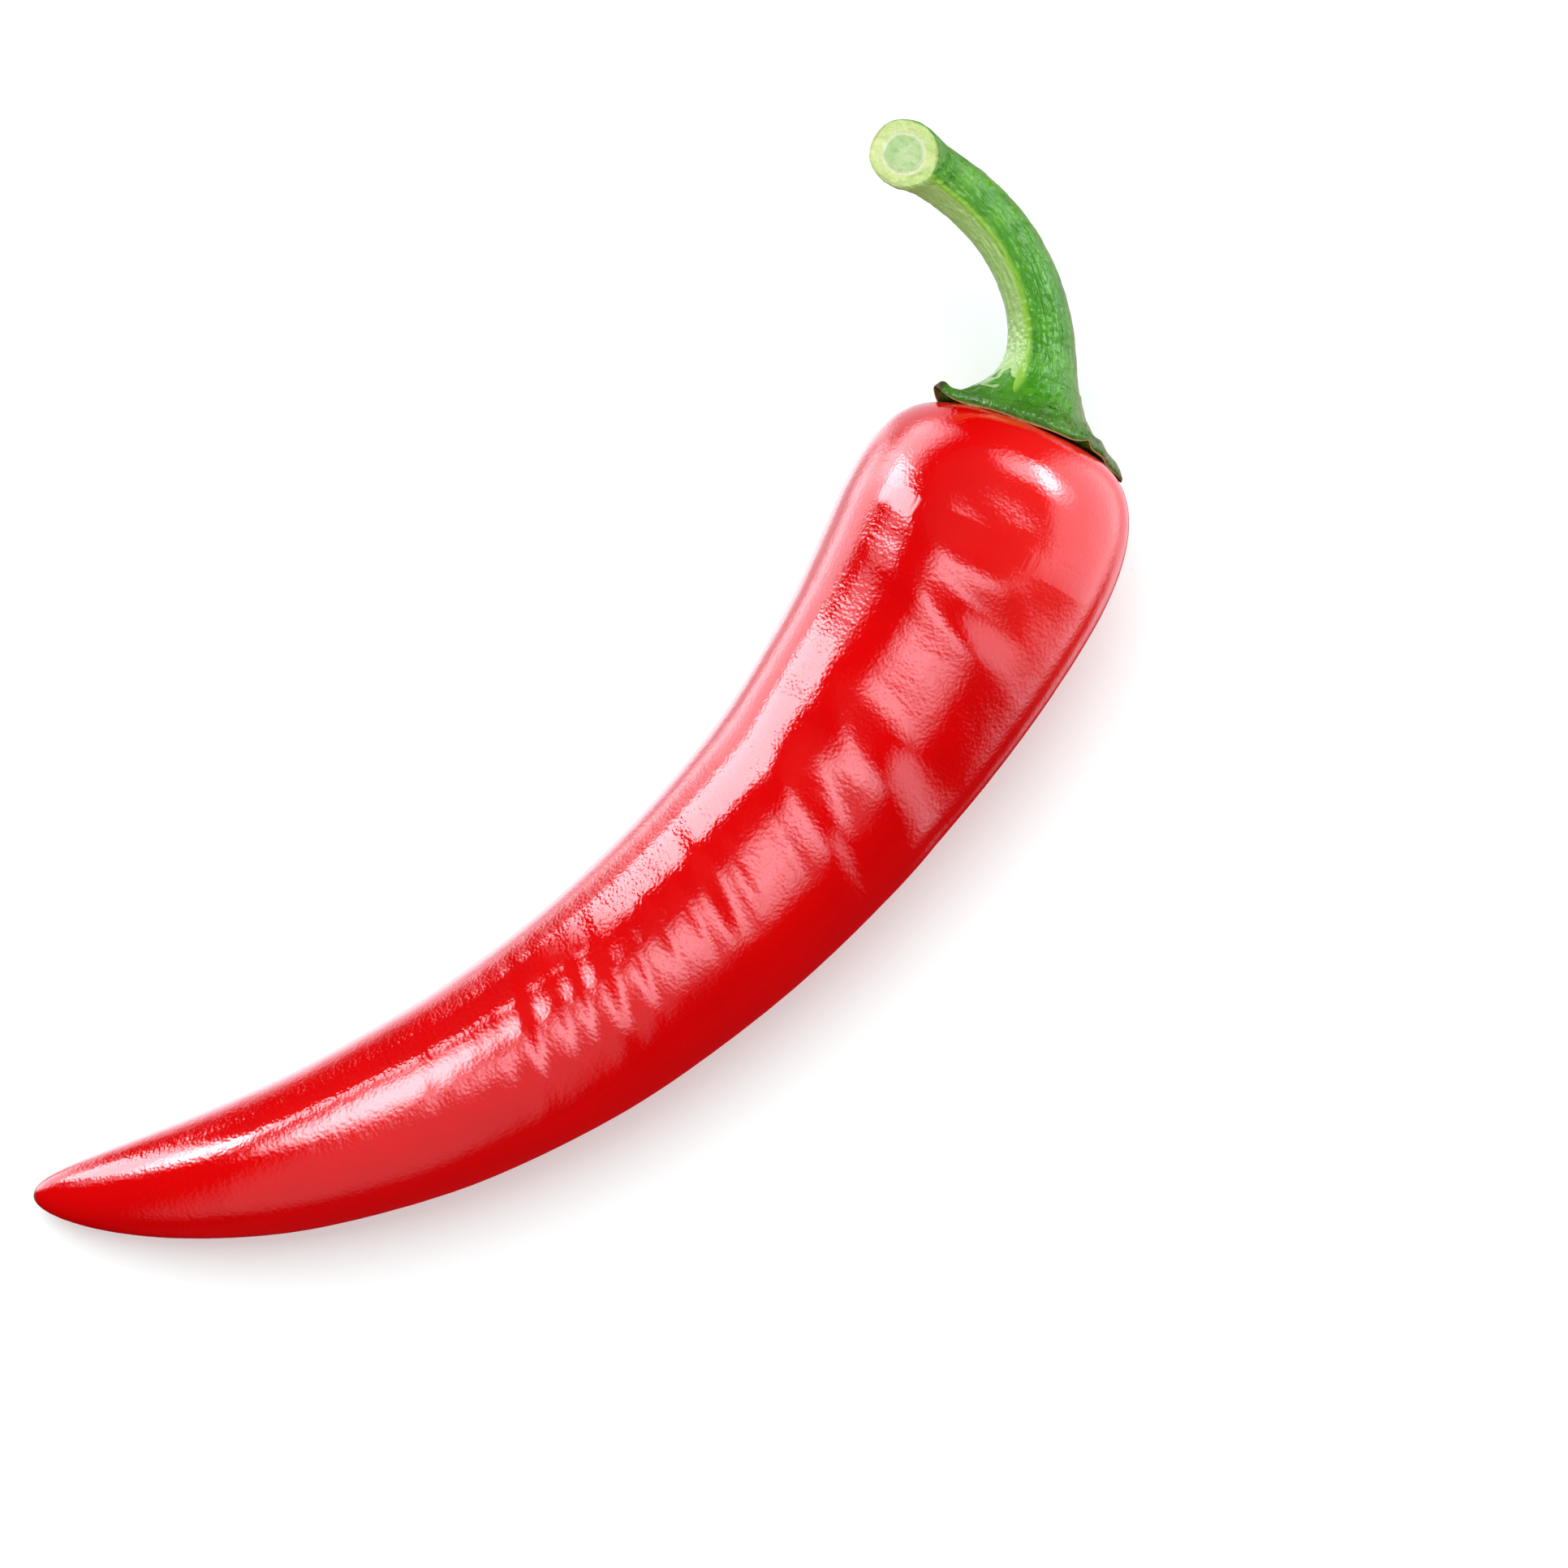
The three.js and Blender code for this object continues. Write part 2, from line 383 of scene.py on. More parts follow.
# The wave of the rim: the radius it is drawn on, its wavelength and seed, and its reach.
RIM_WAVE_RADIUS = 8.0
RIM_WAVE = (5.0, 21)
RIM_WAVE_REACH = 0.25
RIM_WAVE_LIFT = 0.15
RIM_ROLL = 0.45
# Pebbles of the upper face and folds that run out from the stalk: wavelength, seed and height.
PEBBLES = (1.5, 8, 0.11)
FOLDS = (1.6, 9, 0.16)
FOLD_RADIUS = 6.0
FOLD_STRETCH = 0.25
# How softly the plate runs into the flare, the least opening of the flare, and the furthest that
# the cap goes above the crown and below the top of the shoulder.
FLARE_BLEND = 0.35
FLARE_OPENING = 0.35
CAP_TOP = CROWN_HEIGHT + 1.0
CAP_BOTTOM = -4.0
UNDERSIDE_DROP = 0.02
# Where the points lift off, by radius, and how strongly. Where the rim waves, rolls and rounds
# off, by the share of its own radius.
POINT_LIFT_RANGE = (CALYX_SIDE_RADIUS - 1.5, CALYX_SIDE_RADIUS + 2.5)
POINT_LIFT_GAIN = 1.6
RIM_WAVE_RANGE = (0.75, 1.0)
ROLL_AT = 0.9
ROLL_WIDTH = 0.07
ROLL_WAVE = 0.5
EDGE_ROUND_RANGE = (0.93, 1.0)
EDGE_LEAST = 0.03
# The pebbles and folds start outside the stalk, and most of them fade at the rim.
PEBBLED_RANGE = (3.4, 5.5)
SMOOTH_RIM_RANGE = (0.9, 1.0)
SMOOTH_RIM_SHARE = 0.7
# Where the marks for the rim's cream and the tips' brown start and are full.
CREAM_RANGE = (0.95, 1.0)
BROWN_RANGE = (CALYX_SIDE_RADIUS + 0.3, CALYX_SIDE_RADIUS + 1.6)


def calyx_points(angle):
    """For each direction, the reach of its nearest point, its lift, and how near its tip is."""
    reach, lift, near = (np.zeros_like(angle) for _ in range(3))
    for degrees, length, raised, width in CALYX_POINTS:
        away = (np.degrees(angle) - degrees + 180) % 360 - 180
        share = np.exp(-(np.abs(away / width) ** POINT_SHARPNESS))
        reach = np.maximum(reach, length * share)
        lift = np.maximum(lift, raised * share)
        near = np.maximum(near, share**3)
    return reach, lift, near


def make_calyx():
    """The calyx: a thin cap over the shoulder. Its rows go from the middle of its upper face out to
    the rim and back under it. The upper face is the higher of a plate on the shoulder, rolled near
    the rim, and the flare that rises to the stalk, with pebbles and folds over both."""
    top_share = np.linspace(0.0, 1.0, CALYX_ROWS) ** 0.8
    under_share = np.linspace(1.0, 0.0, CALYX_ROWS // 2)
    upper = np.concatenate([np.ones(CALYX_ROWS), np.zeros(CALYX_ROWS // 2)])
    share = np.concatenate([top_share, under_share])
    share, angle = np.meshgrid(share, full_turn(CALYX_SIDES), indexing="ij")
    upper = np.broadcast_to(upper[:, None], share.shape)
    reach, raised, near = calyx_points(angle)
    wave = ripple(crosswise(angle, RIM_WAVE_RADIUS, 0 * angle), *RIM_WAVE)
    rim = CALYX_SIDE_RADIUS + reach + RIM_WAVE_REACH * wave
    radius = share * rim
    ground = -shoulder_drop(radius)
    lift = raised * smoothstep(radius, *POINT_LIFT_RANGE) * POINT_LIFT_GAIN
    lift = lift + RIM_WAVE_LIFT * (1 + wave) * smoothstep(share, *RIM_WAVE_RANGE)
    edge_fall = smoothstep(share, *EDGE_ROUND_RANGE)
    edge_round = np.sqrt(np.clip(1 - edge_fall**2, EDGE_LEAST, 1.0))
    roll = RIM_ROLL * bell(share - ROLL_AT, ROLL_WIDTH) * (1 + ROLL_WAVE * wave)
    plate = ground + lift + (CALYX_THICKNESS + roll) * edge_round
    opening = np.maximum(radius - STALK_RADIUS, FLARE_OPENING)
    flare = -FLARE_LENGTH * np.log(opening / FLARE_RADIUS)
    face = FLARE_BLEND * np.logaddexp(plate / FLARE_BLEND, flare / FLARE_BLEND)
    wavelength, seed, height = PEBBLES
    rough = height * ripple(crosswise(angle, radius, face), wavelength, seed)
    wavelength, seed, height = FOLDS
    folds = height * ripple(crosswise(angle, FOLD_RADIUS, radius * FOLD_STRETCH), wavelength, seed)
    rim_calm = 1 - smoothstep(share, *SMOOTH_RIM_RANGE) * SMOOTH_RIM_SHARE
    face = face + smoothstep(radius, *PEBBLED_RANGE) * rim_calm * (rough + folds)
    below = np.maximum(ground + lift - UNDERSIDE_DROP, CAP_BOTTOM)
    height = np.where(upper > 0, np.minimum(face, CAP_TOP), below)
    station = (TOP_CENTRE, TOP_SIDE, TOP_ALONG, TOP_LIFT)
    rows = round_section(station, angle, radius) + TOP_ALONG * height[..., None]
    marks = {
        "straight": straight(height, angle, radius),
        "green_height": np.maximum(height, 0) * MM,
        "ridge": np.zeros_like(share),
        "painted_lit_side": np.zeros_like(share),
        "edge": (1 - upper) * smoothstep(share, *CREAM_RANGE),
        "tooth": near * smoothstep(radius, *BROWN_RANGE),
        "cut": np.zeros_like(share),
        "ring": np.zeros_like(share),
    }
    return rows, marks


# ------------------------------------------------------------------------------------- stalk

STALK_ROWS = 340
STALK_SIDES = 160
CUT_ROWS = 36
STALK_FOOT = -1.6

# Lengthwise ridges of the stalk: angle, height as a share of the radius, and half-width.
STALK_RIDGES = [
    (-25, 0.07, 13),
    (58, 0.035, 20),
    (128, 0.05, 16),
    (-150, 0.05, 16),
    (-88, 0.04, 18),
]
RIDGE_TURN = 0.3
# Between the ridges: the depth and the ovalness of the section, fine lines (how many, how they
# turn with the distance, phase, height) and grain (wavelength, seed, height).
SECTION_DEPTH = -0.03
SECTION_OVAL = 0.012
OVAL_PHASE = 2.0
FINE_LINES = [(23, 0.3, 0.0, 0.005), (37, 0.0, 1.0, 0.004)]
STALK_GRAIN = [(0.8, 41, 0.011), (0.45, 42, 0.008)]
GRAIN_STRETCH = 0.5
# Where, by distance, the ridges come in and most of them go, and the grain goes.
RIDGES_IN = (-1.0, 5.0)
RIDGES_OUT = (22, STALK_LENGTH)
RIDGES_LOST = 0.6
GRAIN_OUT = (STALK_LENGTH - 0.5, STALK_LENGTH)
# Painted light on the stalk, in degrees: a painted highlight along the first ridge, and the lit
# side next to it painted paler.
RIDGE_HIGHLIGHT_WIDTH = 9.0
PAINTED_LIT_SIDE_RANGE = (4.0, -10.0)
# The cut face: its pith stands up inside a groove, and the whole of it is uneven.
LIP = 0.12
LIP_LENGTH = 0.25
PITH_RISE = 0.1
PITH_EDGE = (0.62, 0.54)
GROOVE_AT = 0.6
GROOVE_WIDTH = 0.04
CUT_RIPPLE = (0.9, 31)
CUT_RIPPLE_HEIGHT = 0.07
RING_WAVE = (3.2, 32)
RING_WAVE_SHARE = 0.05


def around_stalk(distance, angle, degrees):
    """The angle from a ridge, in degrees, which turns slowly with the distance."""
    return (np.degrees(angle) - degrees + RIDGE_TURN * distance + 180) % 360 - 180


def stalk_ridges(distance, angle):
    """Lengthwise ridges as a share of the radius, with fine lines and grain between them. They
    fade at the foot and the cut."""
    corner = SECTION_DEPTH + SECTION_OVAL * np.cos(2 * angle + OVAL_PHASE)
    for degrees, height, width in STALK_RIDGES:
        corner = corner + height * bell(around_stalk(distance, angle, degrees), width)
    fine = np.zeros_like(angle)
    for lines, turn, phase, height in FINE_LINES:
        fine += height * np.cos(lines * angle + turn * distance + phase)
    place = crosswise(angle, STALK_RADIUS, GRAIN_STRETCH * distance)
    grain = np.zeros_like(angle)
    for wavelength, seed, height in STALK_GRAIN:
        grain += height * ripple(place, wavelength, seed)
    lost = RIDGES_LOST * smoothstep(distance, *RIDGES_OUT)
    ridges = (corner + fine) * smoothstep(distance, *RIDGES_IN) * (1 - lost)
    return ridges + grain * (1 - smoothstep(distance, *GRAIN_OUT))


def make_stalk():
    """The stalk: sections carried along its axis. They lie flat on the crown at the foot and lean
    over towards the cut, which faces up, and further rows close the cut face."""
    run = np.linspace(STALK_FOOT, STALK_LENGTH, STALK_ROWS)
    inward = np.linspace(1.0, 0.0, CUT_ROWS + 1)[1:]
    run = np.concatenate([[STALK_FOOT], run, np.full(CUT_ROWS, STALK_LENGTH)])
    share = np.concatenate([[0.0], np.ones(STALK_ROWS), inward])
    cut = np.concatenate([np.zeros(STALK_ROWS + 1), np.ones(CUT_ROWS)])
    distance, angle = np.meshgrid(run, full_turn(STALK_SIDES), indexing="ij")
    share = np.broadcast_to(share[:, None], distance.shape)
    cut = np.broadcast_to(cut[:, None], distance.shape)
    swell = CUT_SWELL * bell(STALK_LENGTH - distance, CUT_SWELL_LENGTH)
    thinning = STALK_THINNING * np.maximum(distance, 0) / STALK_LENGTH
    outer = flare_radius(CROWN_HEIGHT + distance) - thinning + swell
    outer = outer * (1 + stalk_ridges(distance, angle))
    lip = LIP * smoothstep(distance, STALK_LENGTH - LIP_LENGTH, STALK_LENGTH)
    radius = (outer - lip) * share
    centre, _, along, lift = stations(STALK_AXIS, distance / STALK_LENGTH)
    centre = centre + TOP_ALONG * np.minimum(distance, 0)[..., None]
    settle = smoothstep(distance, 0, FOOT_LEAN_LENGTH)[..., None]
    facing = TOP_ALONG + (along - TOP_ALONG) * settle
    lean = smoothstep(distance, STALK_LENGTH - CUT_LEAN_LENGTH, STALK_LENGTH)[..., None]
    facing = unit(facing + (UP - facing) * lean)
    side = unit(np.cross(facing, lift))
    rows = round_section((centre, side, facing, np.cross(side, facing)), angle, radius)
    place = crosswise(angle, radius, 0 * angle)
    groove = bell(share - GROOVE_AT, GROOVE_WIDTH)
    pith = PITH_RISE * (smoothstep(share, *PITH_EDGE) - groove)
    uneven = CUT_RIPPLE_HEIGHT * ripple(place, *CUT_RIPPLE)
    rows = rows + facing * (cut * (pith + uneven))[..., None]
    from_ridge = around_stalk(distance, angle, STALK_RIDGES[0][0])
    marks = {
        "straight": straight(distance + CROWN_HEIGHT, angle, radius),
        "green_height": (distance + CROWN_HEIGHT) * MM,
        # painted highlight along the first ridge, and painted light on the side beside it
        "ridge": bell(from_ridge, RIDGE_HIGHLIGHT_WIDTH),
        "painted_lit_side": smoothstep(from_ridge, *PAINTED_LIT_SIDE_RANGE),
        "edge": np.zeros_like(share),
        "tooth": np.zeros_like(share),
        "cut": cut,
        "ring": share * cut * (1 + RING_WAVE_SHARE * ripple(place, *RING_WAVE)),
    }
    return rows, marks


# --------------------------------------------------------------------------------- materials


def new_group(name, inputs, outputs):
    """A shader node group with float or vector sockets: inputs and outputs map names to kinds."""
    group = bpy.data.node_groups.new(name, "ShaderNodeTree")
    for label, (kind, value) in inputs.items():
        socket = group.interface.new_socket(label, in_out="INPUT", socket_type=kind)
        if value is not None:
            socket.default_value = value
    for label, kind in outputs.items():
        group.interface.new_socket(label, in_out="OUTPUT", socket_type=kind)
    return group, group.nodes.new("NodeGroupInput"), group.nodes.new("NodeGroupOutput")


def input_of(node, label):
    """A node's input by its name, or by its number where the label is i and a number."""
    if label[0] == "i" and label[1:].isdigit():
        return node.inputs[int(label[1:])]
    return node.inputs[label.replace("_", " ")]


def feed(tree, node, values):
    """Links each named input of a node to a socket, or gives it a value."""
    for label, value in values.items():
        socket = input_of(node, label)
        if isinstance(value, bpy.types.NodeSocket):
            tree.links.new(value, socket)
        else:
            socket.default_value = value
    return node


def add(tree, kind, settings=None, **values):
    """A node of one kind, with its settings, and with each named input linked or given a value."""
    node = tree.nodes.new("ShaderNode" + kind)
    for label, value in (settings or {}).items():
        setattr(node, label, value)
    return feed(tree, node, values)


def ramp(tree, value, low, high, to_low=0.0, to_high=1.0):
    """The value taken from low..high to to_low..to_high, smoothly and held at the ends."""
    limits = {"From_Min": low, "From_Max": high, "To_Min": to_low, "To_Max": to_high}
    settings = {"interpolation_type": "SMOOTHSTEP"}
    return add(tree, "MapRange", settings, Value=value, **limits).outputs[0]


def mixed(tree, share, first, second):
    """Two colours mixed by a share."""
    node = add(tree, "Mix", {"data_type": "RGBA"}, i0=share, i6=first, i7=second)
    return node.outputs[2]


def attribute(tree, name):
    return add(tree, "Attribute", {"attribute_name": name}).outputs


def grain_group():
    """Leathery grain: small cells broken up by a finer noise, as a height from 0 to 1."""
    inputs = {
        "Place": ("NodeSocketVector", None),
        "Cells": ("NodeSocketFloat", 3000.0),
        "Break up": ("NodeSocketFloat", 0.5),
    }
    group, source, result = new_group("leathery_grain", inputs, {"Height": "NodeSocketFloat"})
    place, cells, break_up = source.outputs[:3]
    rounded = add(group, "TexVoronoi", {"feature": "SMOOTH_F1"}, Vector=place, Scale=cells)
    fine = add(group, "TexNoise", None, Vector=place, Scale=cells, Detail=1.0)
    ends = {"i2": rounded.outputs[0], "i3": fine.outputs[0]}
    both = add(group, "Mix", {"data_type": "FLOAT"}, i0=break_up, **ends)
    group.links.new(both.outputs[0], result.inputs[0])
    return group


def mottle_group():
    """Slow patches of colour: a soft noise from 0 to 1 with a chosen contrast."""
    inputs = {
        "Place": ("NodeSocketVector", None),
        "Patches": ("NodeSocketFloat", 100.0),
        "Contrast": ("NodeSocketFloat", 0.2),
    }
    group, source, result = new_group("soft_mottle", inputs, {"Share": "NodeSocketFloat"})
    place, patches, contrast = source.outputs[:3]
    noise = add(group, "TexNoise", None, Vector=place, Scale=patches, Detail=4.0, Roughness=0.6)
    low = add(group, "Math", {"operation": "SUBTRACT"}, i0=0.5, i1=contrast)
    high = add(group, "Math", {"operation": "ADD"}, i0=0.5, i1=contrast)
    limits = {"i1": low.outputs[0], "i2": high.outputs[0]}
    settings = {"interpolation_type": "SMOOTHSTEP"}
    patchy = add(group, "MapRange", settings, i0=noise.outputs[0], **limits)
    group.links.new(patchy.outputs[0], result.inputs[0])
    return group


GRAIN = grain_group()
MOTTLE = mottle_group()


def placed(tree, group, **values):
    """A group node with its inputs linked or set, and its first output."""
    node = tree.nodes.new("ShaderNodeGroup")
    node.node_tree = group
    return feed(tree, node, values).outputs[0]


def stretched(tree, place, scale):
    """The place with its axes scaled, so that a pattern is longer along the smaller ones."""
    return add(tree, "Mapping", None, Vector=place, Scale=scale).outputs[0]


def bumped(tree, shader, weight, over, grain, depth):
    """Gives a shader's surface a fine relief: one pattern, by its weight, over the grain."""
    both = add(tree, "Math", {"operation": "MULTIPLY_ADD"}, i0=over, i1=weight, i2=grain)
    bump = add(tree, "Bump", None, Height=both.outputs[0], Distance=depth, Strength=1.0)
    tree.links.new(bump.outputs[0], shader.inputs["Normal"])


def new_material(name):
    material = bpy.data.materials.new(name)
    material.use_nodes = True
    tree = material.node_tree
    return material, tree, tree.nodes["Principled BSDF"]


RED = (0.70, 0.0004, 0.0008, 1)
DEEPER_RED = (0.62, 0.0003, 0.0012, 1)
# painted glow colour: lighter than the skin's own red, for light shining through the skin
PAINTED_GLOW_RED = (0.97, 0.028, 0.024, 1)
SCAR_BROWN = (0.23, 0.10, 0.04, 1)

CALYX_DARK = (0.025, 0.11, 0.008, 1)
CALYX_LIGHT = (0.065, 0.25, 0.014, 1)
STALK_LOW = (0.045, 0.25, 0.006, 1)
STALK_HIGH = (0.13, 0.36, 0.03, 1)
STALK_LINE = (0.09, 0.36, 0.012, 1)
STALK_PATCH = (0.03, 0.2, 0.004, 1)
# painted highlight colours for the stalk's lit side and its first ridge
STALK_PAINTED_LIT_SIDE = (0.46, 0.68, 0.24, 1)
STALK_RIDGE_HIGHLIGHT = (0.3, 0.56, 0.06, 1)
RIM_CREAM = (0.5, 0.46, 0.2, 1)
TIP_BROWN = (0.06, 0.045, 0.015, 1)
PITH_DARK = (0.36, 0.56, 0.22, 1)
PITH_LIGHT = (0.54, 0.68, 0.36, 1)
WOOD_LIGHT = (0.66, 0.74, 0.34, 1)
WOOD_DARK = (0.4, 0.6, 0.16, 1)
RING_PALE = (0.66, 0.72, 0.45, 1)
CUT_EDGE_BROWN = (0.36, 0.3, 0.12, 1)


def pod_skin():
    """Glossy red skin: patches of two reds, a painted glow of lighter, warmer red on one side of
    the shoulder where light shines through the skin, a brown scar at the tip, and fine wrinkles
    that run round the pod over a leathery grain."""
    material, tree, shader = new_material("pod_skin")
    place = attribute(tree, "straight")[1]
    patches = placed(tree, MOTTLE, Place=place, Patches=90.0, Contrast=0.25)
    red = mixed(tree, patches, RED, DEEPER_RED)
    # painted glow: a lighter, warmer red over the shoulder's right side, where light shines through
    # the skin
    painted_glow = ramp(tree, attribute(tree, "painted_glow")[2], 0.25, 1.0, 0.0, 0.85)
    glow_painted_red = mixed(tree, painted_glow, red, PAINTED_GLOW_RED)
    scar = ramp(tree, attribute(tree, "scar")[2], 0.45, 0.8)
    tree.links.new(mixed(tree, scar, glow_painted_red, SCAR_BROWN), shader.inputs["Base Color"])
    grain = placed(tree, GRAIN, Place=place, Cells=3200.0, Break_up=0.25)
    along = stretched(tree, place, (0.35, 0.35, 1.0))
    wrinkles = placed(tree, MOTTLE, Place=along, Patches=1000.0, Contrast=0.5)
    bumped(tree, shader, 0.7, wrinkles, grain, 0.000024)
    shader.inputs["Roughness"].default_value = 0.09
    shader.inputs["IOR"].default_value = 1.52
    return material


def green_skin():
    """The green of calyx and stalk: light and lined on the stalk, with a painted highlight along
    one ridge and the lit side beside it painted paler, darker and pebbled on the calyx, cream along
    the rim, brown at the tips, and pale with rings on the cut."""
    material, tree, shader = new_material("green_skin")
    place = attribute(tree, "straight")[1]
    height = attribute(tree, "green_height")[2]
    along = stretched(tree, place, (1.0, 1.0, 0.12))
    lines = placed(tree, MOTTLE, Place=along, Patches=1300.0, Contrast=0.2)
    patches = placed(tree, MOTTLE, Place=place, Patches=420.0, Contrast=0.25)
    fresh = mixed(tree, ramp(tree, height, 0.012, 0.028), STALK_LOW, STALK_HIGH)
    lined = mixed(tree, lines, fresh, STALK_LINE)
    patched = mixed(tree, ramp(tree, patches, 0.0, 1.0, 0.0, 0.75), lined, STALK_PATCH)
    # painted light: the lit side of the stalk painted paler, and a painted highlight along the
    # first ridge
    painted_lit_side = ramp(tree, attribute(tree, "painted_lit_side")[2], 0.0, 1.0, 0.0, 0.8)
    lit_side_painted = mixed(tree, painted_lit_side, patched, STALK_PAINTED_LIT_SIDE)
    ridge = ramp(tree, attribute(tree, "ridge")[2], 0.3, 1.0, 0.0, 0.75)
    stalk = mixed(tree, ridge, lit_side_painted, STALK_RIDGE_HIGHLIGHT)
    calyx = mixed(tree, patches, CALYX_DARK, CALYX_LIGHT)
    green = mixed(tree, ramp(tree, height, 0.0003, 0.003), calyx, stalk)
    edge = ramp(tree, attribute(tree, "edge")[2], 0.7, 0.95)
    rimmed = mixed(tree, edge, green, RIM_CREAM)
    tooth = ramp(tree, attribute(tree, "tooth")[2], 0.2, 0.8)
    toothed = mixed(tree, tooth, rimmed, TIP_BROWN)
    cut = attribute(tree, "cut")[2]
    colour = mixed(tree, cut, toothed, cut_colour(tree, patches))
    tree.links.new(colour, shader.inputs["Base Color"])
    grain = placed(tree, GRAIN, Place=place, Cells=1900.0, Break_up=0.4)
    bumped(tree, shader, 0.5, lines, grain, 0.0002)
    shader.inputs["Roughness"].default_value = 0.22
    shader.inputs["Specular IOR Level"].default_value = 0.28
    shader.inputs["IOR"].default_value = 1.4
    return material


def cut_colour(tree, patches):
    """The colour of the cut, by the share of its radius: pith, a pale ring, wood, a thin brown
    edge."""
    ring = attribute(tree, "ring")[2]
    pith = mixed(tree, patches, PITH_DARK, PITH_LIGHT)
    wood = mixed(tree, patches, WOOD_LIGHT, WOOD_DARK)
    inner = mixed(tree, ramp(tree, ring, 0.56, 0.62), pith, wood)
    ringed = mixed(tree, ramp(tree, ring, 0.5, 0.58), inner, RING_PALE)
    whole = mixed(tree, ramp(tree, ring, 0.62, 0.68), ringed, inner)
    return mixed(tree, ramp(tree, ring, 0.93, 1.0, 0.0, 0.6), whole, CUT_EDGE_BROWN)


def floor_paper():
    """A pale, even, matt surface that glows a little, so that only the contact shadow shows."""
    material, _, shader = new_material("floor_paper")
    shader.inputs["Base Color"].default_value = (0.82, 0.9, 0.9, 1)
    shader.inputs["Roughness"].default_value = 0.9
    shader.inputs["Specular IOR Level"].default_value = 0.0
    shader.inputs["Emission Color"].default_value = (1, 1, 1, 1)
    shader.inputs["Emission Strength"].default_value = 0.2
    return material


# ------------------------------------------------------------------------------------ making

pod_rows, pod_marks, seat = make_pod()


def seated(rows):
    """The rows moved on to the frame and turned into metres."""
    return (rows + seat) * MM


pod = closed_piece("pod_skin", seated(pod_rows), pod_marks, "pod")
pod.data.materials.append(pod_skin())
calyx_rows, calyx_marks = make_calyx()
calyx = closed_piece("calyx_cap", seated(calyx_rows), calyx_marks, "calyx")
stalk_rows, stalk_marks = make_stalk()
stalk = closed_piece("stalk_stem", seated(stalk_rows), stalk_marks, "stalk")
green = green_skin()
calyx.data.materials.append(green)
stalk.data.materials.append(green)

# ------------------------------------------------------------------------------------- stage

FLOOR_HALF = 6.0
FLOOR_CORNERS = [(-1, -1), (1, -1), (1, 1), (-1, 1)]
floor_mesh = bpy.data.meshes.new("floor")
floor_points = [(x * FLOOR_HALF, y * FLOOR_HALF, 0) for x, y in FLOOR_CORNERS]
floor_mesh.from_pydata(floor_points, [], [(0, 1, 2, 3)])
floor_mesh.materials.append(floor_paper())
floor = bpy.data.objects.new("floor", floor_mesh)
bpy.context.scene.collection.objects.link(floor)
floor.visible_glossy = False
floor.visible_diffuse = False
floor.visible_shadow = False

# The picture is turned: its right-hand side points this far clockwise of the first axis.
PICTURE_TURN = math.radians(-37.48)
PICTURE_RIGHT = np.array([math.cos(PICTURE_TURN), math.sin(PICTURE_TURN), 0.0])
PICTURE_UP = np.array([-math.sin(PICTURE_TURN), math.cos(PICTURE_TURN), 0.0])
CAMERA_ELEVATION = math.radians(82.0)
CAMERA_DISTANCE = 0.3949
CAMERA_LENS = 100.0
CAMERA_FILM_WIDTH = 36.0
CAMERA_REACH = (0.01, 50.0)
AIM = np.array([0.01409, -0.01251, 0.01])


def placed_object(name, data, place, right, back):
    """An object at a place whose own first axis points right and whose third points back."""
    thing = bpy.data.objects.new(name, data)
    bpy.context.scene.collection.objects.link(thing)
    up = np.cross(back, right)
    thing.matrix_world = [[*right, 0], [*up, 0], [*back, 0], [*place, 1]]
    return thing


def make_camera():
    """A camera nearly overhead, with the picture turned so that the stalk is at the upper right."""
    data = bpy.data.cameras.new("camera")
    data.lens = CAMERA_LENS
    data.sensor_width = CAMERA_FILM_WIDTH
    data.clip_start, data.clip_end = CAMERA_REACH
    back = UP * math.sin(CAMERA_ELEVATION) - PICTURE_UP * math.cos(CAMERA_ELEVATION)
    return placed_object("camera", data, AIM + back * CAMERA_DISTANCE, PICTURE_RIGHT, back)


# The cards stand this far off unless they say otherwise. Their light is a little cool.
FAR = 8.0
GLOSS_TINT = (1.0, 0.96, 1.06)
CARD_CELLS = 48


def direction(azimuth, elevation):
    """A direction in the picture: its azimuth is measured from the right-hand side."""
    around, above = math.radians(azimuth), math.radians(elevation)
    flat = PICTURE_RIGHT * math.cos(around) + PICTURE_UP * math.sin(around)
    return flat * math.cos(above) + UP * math.sin(above)


def surfaced(material, tree, shader, surface):
    """The material with another surface in place of its first shader."""
    tree.links.new(surface.outputs[0], tree.nodes["Material Output"].inputs["Surface"])
    tree.nodes.remove(shader)
    return material


def soft_light():
    """The light of the cards: each point glows with the strength stored in the card's mesh, and
    is otherwise clear, so that no card hides another."""
    material, tree, shader = new_material("soft_light")
    glow = add(tree, "Emission", None, Color=attribute(tree, "glow")[0])
    clear = add(tree, "BsdfTransparent")
    both = add(tree, "AddShader", None, i0=glow.outputs[0], i1=clear.outputs[0])
    return surfaced(material, tree, shader, both)


def soft_shade():
    """The shade of the flag: each point lets through the share stored in the flag's mesh."""
    material, tree, shader = new_material("soft_shade")
    clear = add(tree, "BsdfTransparent", None, Color=attribute(tree, "glow")[0])
    return surfaced(material, tree, shader, clear)


SOFT_LIGHT = soft_light()
SOFT_SHADE = soft_shade()


def on_plan(place):
    """A place on the floor from its distances to the right of the middle and up the picture."""
    return PICTURE_RIGHT * place[0] + PICTURE_UP * place[1]


def card_grid(soft):
    """A grid from -1 to 1 in both directions, and a weight that is 1 in the middle and falls to 0
    at the edges over the soft share of the half-width."""
    run = np.linspace(-1, 1, CARD_CELLS + 1)
    across, along = np.meshgrid(run, run, indexing="ij")
    weight = (1 - smoothstep(abs(across), 1 - soft, 1)) * (1 - smoothstep(abs(along), 1 - soft, 1))
    return across, along, weight


